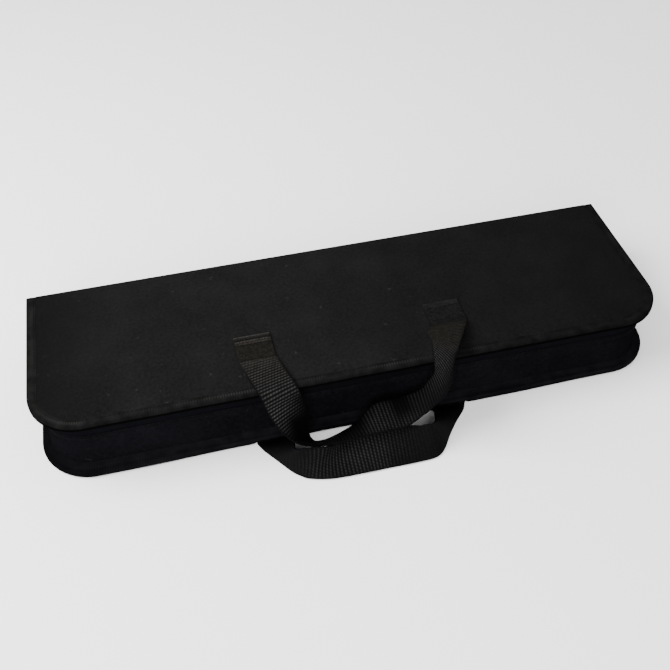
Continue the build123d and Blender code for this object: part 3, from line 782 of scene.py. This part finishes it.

# How the webbing is worn and lit, at distances in mm along each handle: its tone, mostly painted shade where
# the strap turns away from the lamp, and how pale its ribs are, partly rubbed and partly a painted highlight on
# lit rib tops, both at the outer edge, the middle and the inner edge, and how far it has faded to brown
lid_wear_and_shade = np.array([
    (0, 7.5, 7.5, 7.5, 0.3, 0.3, 0.3, 0.3), (1.4, 7.5, 7.5, 7.5, 0.3, 0.3, 0.3, 0.3),
    (2.2, 2.0, 2.0, 2.0, 0.1, 0.1, 0.1, 0.6), (4.4, 1.2, 1.2, 1.2, 0.1, 0.1, 0.1, 0.8),
    (5.4, 4.2, 4.2, 4.2, 0.5, 0.5, 0.5, 0.6), (9, 3.4, 3.4, 3.4, 0.3, 0.3, 0.3, 0.8),
    (10, 1.1, 1.1, 1.1, 0.0, 0.0, 0.0, 1.0), (11, 2.5, 2.5, 2.5, 0.0, 0.0, 0.0, 1.0),
    (26, 2.5, 2.5, 2.5, 0.05, 0.05, 0.05, 1.0), (27.5, 1.4, 1.4, 1.4, 0.0, 0.0, 0.0, 0.8),
    (29, 3.9, 3.9, 3.9, 0.2, 0.2, 0.2, 0.6), (31, 2.5, 2.5, 2.5, 0.5, 0.5, 0.5, 0.6),
    (45, 1.0, 1.0, 1.0, 0.75, 0.75, 0.75, 0.5), (55, 0.8, 0.8, 0.8, 0.75, 0.75, 0.75, 0.2),
    (64, 0.6, 0.6, 0.6, 0.82, 0.82, 0.82, 0.0), (72, 0.4, 0.4, 0.3, 0.85, 0.9, 0.65, 0.0),
    (78, 0.4, 0.3, 0.0, 1.1, 1.1, 0.0, 0.0), (88, 0.4, 0.1, 0.0, 1.4, 0.8, 0.0, 0.0),
    (98, 0.4, 0.0, 0.0, 1.4, 0.0, 0.0, 0.0), (108, 0.4, 0.0, 0.0, 0.7, 0.0, 0.0, 0.0),
    (116, 0.2, 0.0, 0.0, 0.1, 0.0, 0.0, 0.0), (145, 0.3, 0.2, 0.1, 0.1, 0.05, 0.0, 0.0),
    (166, 0.3, 0.2, 0.1, 0.2, 0.1, 0.0, 0.0), (174, 0.4, 0.4, 0.3, 0.42, 0.5, 0.36, 0.0),
    (192, 0.4, 0.4, 0.3, 0.42, 0.5, 0.36, 0.0), (198, 0.4, 0.1, 0.1, 0.5, 0.05, 0.05, 0.0),
    (207, 0.4, 0.1, 0.1, 0.5, 0.05, 0.05, 0.0), (214, 0.3, 0.3, 0.4, 0.22, 0.22, 0.5, 0.0),
    (228, 0.3, 0.3, 0.4, 0.1, 0.22, 0.5, 0.0), (240, 0.3, 0.3, 0.3, 0.1, 0.34, 0.42, 0.0),
    (250, 0.3, 0.2, 0.2, 0.05, 0.66, 0.8, 0.0), (272, 0.4, 0.3, 0.2, 0.25, 0.72, 0.86, 0.0),
    (280, 1.4, 1.4, 1.4, 0.3, 0.4, 0.4, 0.4), (288, 1.8, 1.8, 1.8, 0.15, 0.15, 0.15, 1.0),
    (312, 2.2, 2.2, 2.2, 0.1, 0.1, 0.1, 1.0), (318, 1.6, 1.6, 1.6, 0.05, 0.05, 0.05, 0.4),
    (326, 1.9, 1.9, 1.9, 0.0, 0.0, 0.0, 0.1), (338, 1.9, 1.9, 1.9, 0.0, 0.0, 0.0, 0.0),
    (340, 3.1, 3.1, 3.1, 0.0, 0.0, 0.0, 0.0), (343, 3.1, 3.1, 3.1, 0.0, 0.0, 0.0, 0.0),
])
base_wear_and_shade = np.array([
    (0, 0.3, 0.3, 0.3, 0.4, 0.4, 0.4, 0.0), (60, 0.3, 0.3, 0.3, 0.3, 0.3, 0.3, 0.0),
    (68, 0.1, 0.1, 0.05, 0.0, 0.0, 0.0, 0.0), (80, 0.7, 0.4, 0.1, 0.0, 0.0, 0.0, 0.0),
    (104, 0.9, 0.7, 0.4, 0.0, 0.0, 0.02, 0.0), (114, 0.9, 0.7, 0.6, 0.08, 0.24, 0.22, 0.0),
    (122, 0.7, 0.6, 0.6, 0.27, 0.40, 0.36, 0.0), (130, 0.4, 0.6, 0.6, 0.27, 0.42, 0.38, 0.0),
    (150, 0.4, 0.6, 0.6, 0.34, 0.48, 0.43, 0.0), (174, 0.4, 0.6, 0.6, 0.36, 0.46, 0.41, 0.0),
    (184, 0.3, 0.5, 0.6, 0.10, 0.24, 0.30, 0.0), (196, 0.5, 0.6, 0.6, 0.03, 0.13, 0.18, 0.0),
    (206, 0.7, 0.7, 0.6, 0.0, 0.03, 0.08, 0.0), (224, 0.7, 0.7, 0.6, 0.0, 0.0, 0.02, 0.0),
    (236, 0.7, 0.5, 0.2, 0.0, 0.0, 0.0, 0.0), (246, 0.1, 0.1, 0.0, 0.0, 0.0, 0.0, 0.0),
    (262, 0.1, 0.1, 0.1, 0.1, 0.1, 0.1, 0.0), (272, 0.3, 0.3, 0.3, 0.3, 0.3, 0.3, 0.0),
    (332, 0.3, 0.3, 0.3, 0.4, 0.4, 0.4, 0.0),
])


def paint_wear_and_shade(piece, run, table):
    """Write the wear and the painted shade and highlight of a handle to its points: straight lines between the
    table's distances, and from the outer edge to the middle and on to the inner edge. The ribs stop short of
    the two selvedges."""
    share = np.concatenate([webbing_share, webbing_share[::-1]])
    outer, middle, inner = (np.clip(part, 0.0, 1.0) for part in (-share, 1 - np.abs(share), share))
    lines = np.stack([np.interp(run * 1000, table[:, 0], table[:, k]) for k in range(1, 8)], axis=-1)[:, None]
    tone_and_painted_shade = lines[..., 0] * outer + lines[..., 1] * middle + lines[..., 2] * inner
    wear_and_painted_light = lines[..., 3] * outer + lines[..., 4] * middle + lines[..., 5] * inner
    wear_and_painted_light = wear_and_painted_light * (1 - smooth(np.abs(share), 0.88, 0.95))
    faded = np.broadcast_to(lines[..., 6], tone_and_painted_shade.shape)
    for name, values in (("tone_and_painted_shade", tone_and_painted_shade), ("wear_and_painted_light", wear_and_painted_light), ("faded", faded)):
        layer = piece.data.attributes.new(name, "FLOAT", "POINT")
        layer.data.foreach_set("value", np.ascontiguousarray(values, np.float32).ravel())


# The tables of wear also carry painted shade and painted highlight
for name, body, level, stations, leans, wear, lift, bend in (
    ("lid_handle", "lid", case_top + webbing_thickness / 2, lid_loop, lid_lean, lid_wear_and_shade, 0.0006, -0.046),
    ("base_handle", "base", webbing_thickness / 2, base_loop, base_lean, base_wear_and_shade, 0.0, -0.047),
):
    run, edges = loop_edges(stations, level)
    sections, flat = webbing_sections(run, edges, leans, lift)
    handle = skin(name + "_webbing", sections, flat, handle_webbing, sharp=70.0)
    paint_wear_and_shade(handle, run, wear)
    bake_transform(handle)
    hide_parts(name + "_ends", name + "_loop")
    run[-1] + 0.02


# --------------------------------------------------
# Stitching: black bonded thread, lockstitched along both bindings, the wall's hem, the spine and the hinge,
# and in a box round each sewn end of the handles.

thread, shader, start = material("thread", Specular_IOR_Level=0.02)
twist = start.mottle(1800.0, 1.0)
twist.colour((0.0008, 0.0008, 0.0008), (0.0042, 0.0042, 0.0042)).into(shader, "Base Color")
(0.5 + twist * 0.2).into(shader, "Roughness")
stitch_pitch = 0.0034


def stitches(name, body, rows):
    """One mesh of many stitches. Each row gives centres, directions along the seam and directions out of the
    cloth. A stitch is a spindle of five rings of six points: thin and sunk at its ends, full in the middle."""
    centre = np.concatenate([row[0] for row in rows])
    along = np.concatenate([row[1] for row in rows])
    out = np.concatenate([row[2] for row in rows])
    side = np.cross(out, along)
    points_round = 6
    turn = np.arange(points_round) * 2 * pi / points_round
    place = np.array([-0.00140, -0.00095, 0.0, 0.00095, 0.00140])
    width = np.array([0.00010, 0.00024, 0.00029, 0.00024, 0.00010])
    sink = np.array([-0.00022, -0.00004, 0.00004, -0.00004, -0.00022])
    points = (
        centre[:, None, None]
        + along[:, None, None] * place[:, None, None]
        + side[:, None, None] * (width[:, None] * np.cos(turn))[..., None]
        + out[:, None, None] * (sink[:, None] + 0.8 * width[:, None] * np.sin(turn))[..., None]
    )
    ring = np.arange(len(place) * points_round).reshape(len(place), points_round)
    beside = np.roll(ring, -1, axis=1)
    quads = np.stack([ring[:-1], beside[:-1], beside[1:], ring[1:]], axis=-1)
    one = np.concatenate([quads.ravel(), ring[0, ::-1], ring[-1]])
    starts = np.concatenate([np.arange(0, quads.size, 4), [quads.size, quads.size + points_round]])
    stitch = np.arange(len(centre))[:, None]
    corners = (stitch * ring.size + one).ravel()
    starts = (stitch * len(one) + starts).ravel()
    unmapped = np.zeros((len(corners), 2))
    piece = add_mesh(name, points.reshape(-1, 3), corners, starts, unmapped, thread, sharp=60.0)
    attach(piece, body)


def round_the_edge(rear, inset, height, out):
    """A row of stitches round the case at a steady inset and height. out is how far they face outwards and
    how far upwards."""
    run, points, outward = edge_path(rear - 0.003, stitch_pitch)
    centre = np.column_stack([points - inset * outward, np.full(len(run), height)])
    along = np.column_stack([-outward[:, 1], outward[:, 0], np.zeros(len(run))])
    return centre, along, np.column_stack([outward * out[0], np.full(len(run), out[1])])


def straight(first, last, out):
    """A row of stitches from one point to another."""
    first, last = np.array(first), np.array(last)
    length = np.linalg.norm(last - first)
    count = max(2, round(length / stitch_pitch))
    share = (np.arange(count) + 0.5) / count
    centre = first + (last - first) * share[:, None]
    along = np.broadcast_to((last - first) / length, centre.shape)
    return centre, along, np.broadcast_to(np.array(out, float), centre.shape)


def boxes(level, out):
    """Box stitching on both sewn ends of a handle: a row across at each end and a row along each selvedge."""
    half, rear, front = 0.0128, -0.0190, -0.0375
    rows = []
    for middle in (-handle_x, handle_x):
        left, right = middle - half, middle + half
        rows += [straight((left, y, level), (right, y, level), out) for y in (rear, front)]
        rows += [straight((x, rear, level), (x, front, level), out) for x in (left, right)]
    return rows


def along_spine(sunk, height):
    """A row of stitches from end to end of the spine, sunk below its face."""
    half, face = 0.249, spine_face - sunk
    return straight((-half, face, height), (half, face, height), (0, 1, 0))


up, down = (0, 0, 1), (0, 0, -1)
stitches("lid_stitches", "lid", [
    round_the_edge(panel_rear, seam_inset, case_top - 0.0001, (0, 1)),
    round_the_edge(panel_rear, seam_inset, case_top - panel_thickness + 0.0001, (0, -1)),
    along_spine(0.0001, 0.0562),
    *boxes(case_top + 0.0015, up),
])
stitches("base_stitches", "base", [
    round_the_edge(panel_rear, 0.0050, panel_thickness, (0, 1)),
    round_the_edge(panel_rear, seam_inset, 0.0004, (0, -1)),
    round_the_edge(wall_rear, 0.0081, 0.0355, (1, 0)),
    along_spine(0.0001, 0.0385),
    along_spine(0.0002, 0.0335),
    *boxes(0.0002, down),
])


# --------------------------------------------------
# Studio: a pale floor that runs out to all sides, one broad soft lamp overhead, a second from the front left
# and even light all round. The camera stands before the left half of the case and looks down on it.

floor_mesh = bpy.data.meshes.new("floor")
reach = 12
floor_corners = [(-reach, -reach, 0), (reach, -reach, 0), (reach, reach, 0), (-reach, reach, 0)]
floor_mesh.from_pydata(floor_corners, [], [(0, 1, 2, 3)])
floor = bpy.data.objects.new("floor", floor_mesh)
bpy.context.collection.objects.link(floor)
floor_paint, shader, start = material("floor_paint", Roughness=0.9, Specular_IOR_Level=0.1)
start.mottle(0.6, 1.0).colour((0.90, 0.90, 0.90), (0.92, 0.92, 0.92)).into(shader, "Base Color")
floor_mesh.materials.append(floor_paint)

world = bpy.data.worlds.new("studio")
bpy.context.scene.world = world
world.use_nodes = True
even_light = world.node_tree.nodes["Background"].inputs
even_light["Color"].default_value = (1.0, 1.0, 1.0, 1.0)
even_light["Strength"].default_value = 1.3


def soft_lamp(name, place, aim, size, power):
    """Square lamp at a place, turned to the point it lights."""
    lamp = bpy.data.lights.new(name, "AREA")
    lamp.shape = "SQUARE"
    lamp.size = size
    lamp.energy = power
    holder = bpy.data.objects.new(name, lamp)
    holder.location = place
    holder.rotation_euler = (Vector(aim) - Vector(place)).to_track_quat("-Z", "Y").to_euler()
    bpy.context.collection.objects.link(holder)


soft_lamp("overhead_lamp", (-0.85, 0.1, 0.95), (0.0, 0.0, 0.0), 0.9, 36.0)
soft_lamp("front_lamp", (-0.5, -1.5, 0.8), (0.0, 0.0, 0.0), 1.0, 36.0)

# The camera's place is in lengths of the case, and its lens in pixels of a picture 670 pixels wide
case_length = 0.520
azimuth, elevation, roll = radians(-12.0998), radians(44.8857), radians(-1.7367)
distance, to_right, to_top = 1.58154, 0.014319, -0.034462
lens_pixels, picture_width = 930.49, 670
away = Vector((sin(azimuth) * cos(elevation), -cos(azimuth) * cos(elevation), sin(elevation)))
level = (-away).cross(Vector((0, 0, 1))).normalized()
upward = level.cross(-away)
across_view = level * cos(roll) + upward * sin(roll)
up_view = upward * cos(roll) - level * sin(roll)
camera_data = bpy.data.cameras.new("camera")
camera_data.sensor_width = 36.0
camera_data.lens = lens_pixels / picture_width * camera_data.sensor_width
camera = bpy.data.objects.new("camera", camera_data)
bpy.context.collection.objects.link(camera)
turned = Matrix((across_view, up_view, away)).transposed().to_4x4()
place = (away * distance - across_view * to_right - up_view * to_top) * case_length
camera.matrix_world = Matrix.Translation(place) @ turned
bpy.context.scene.camera = camera
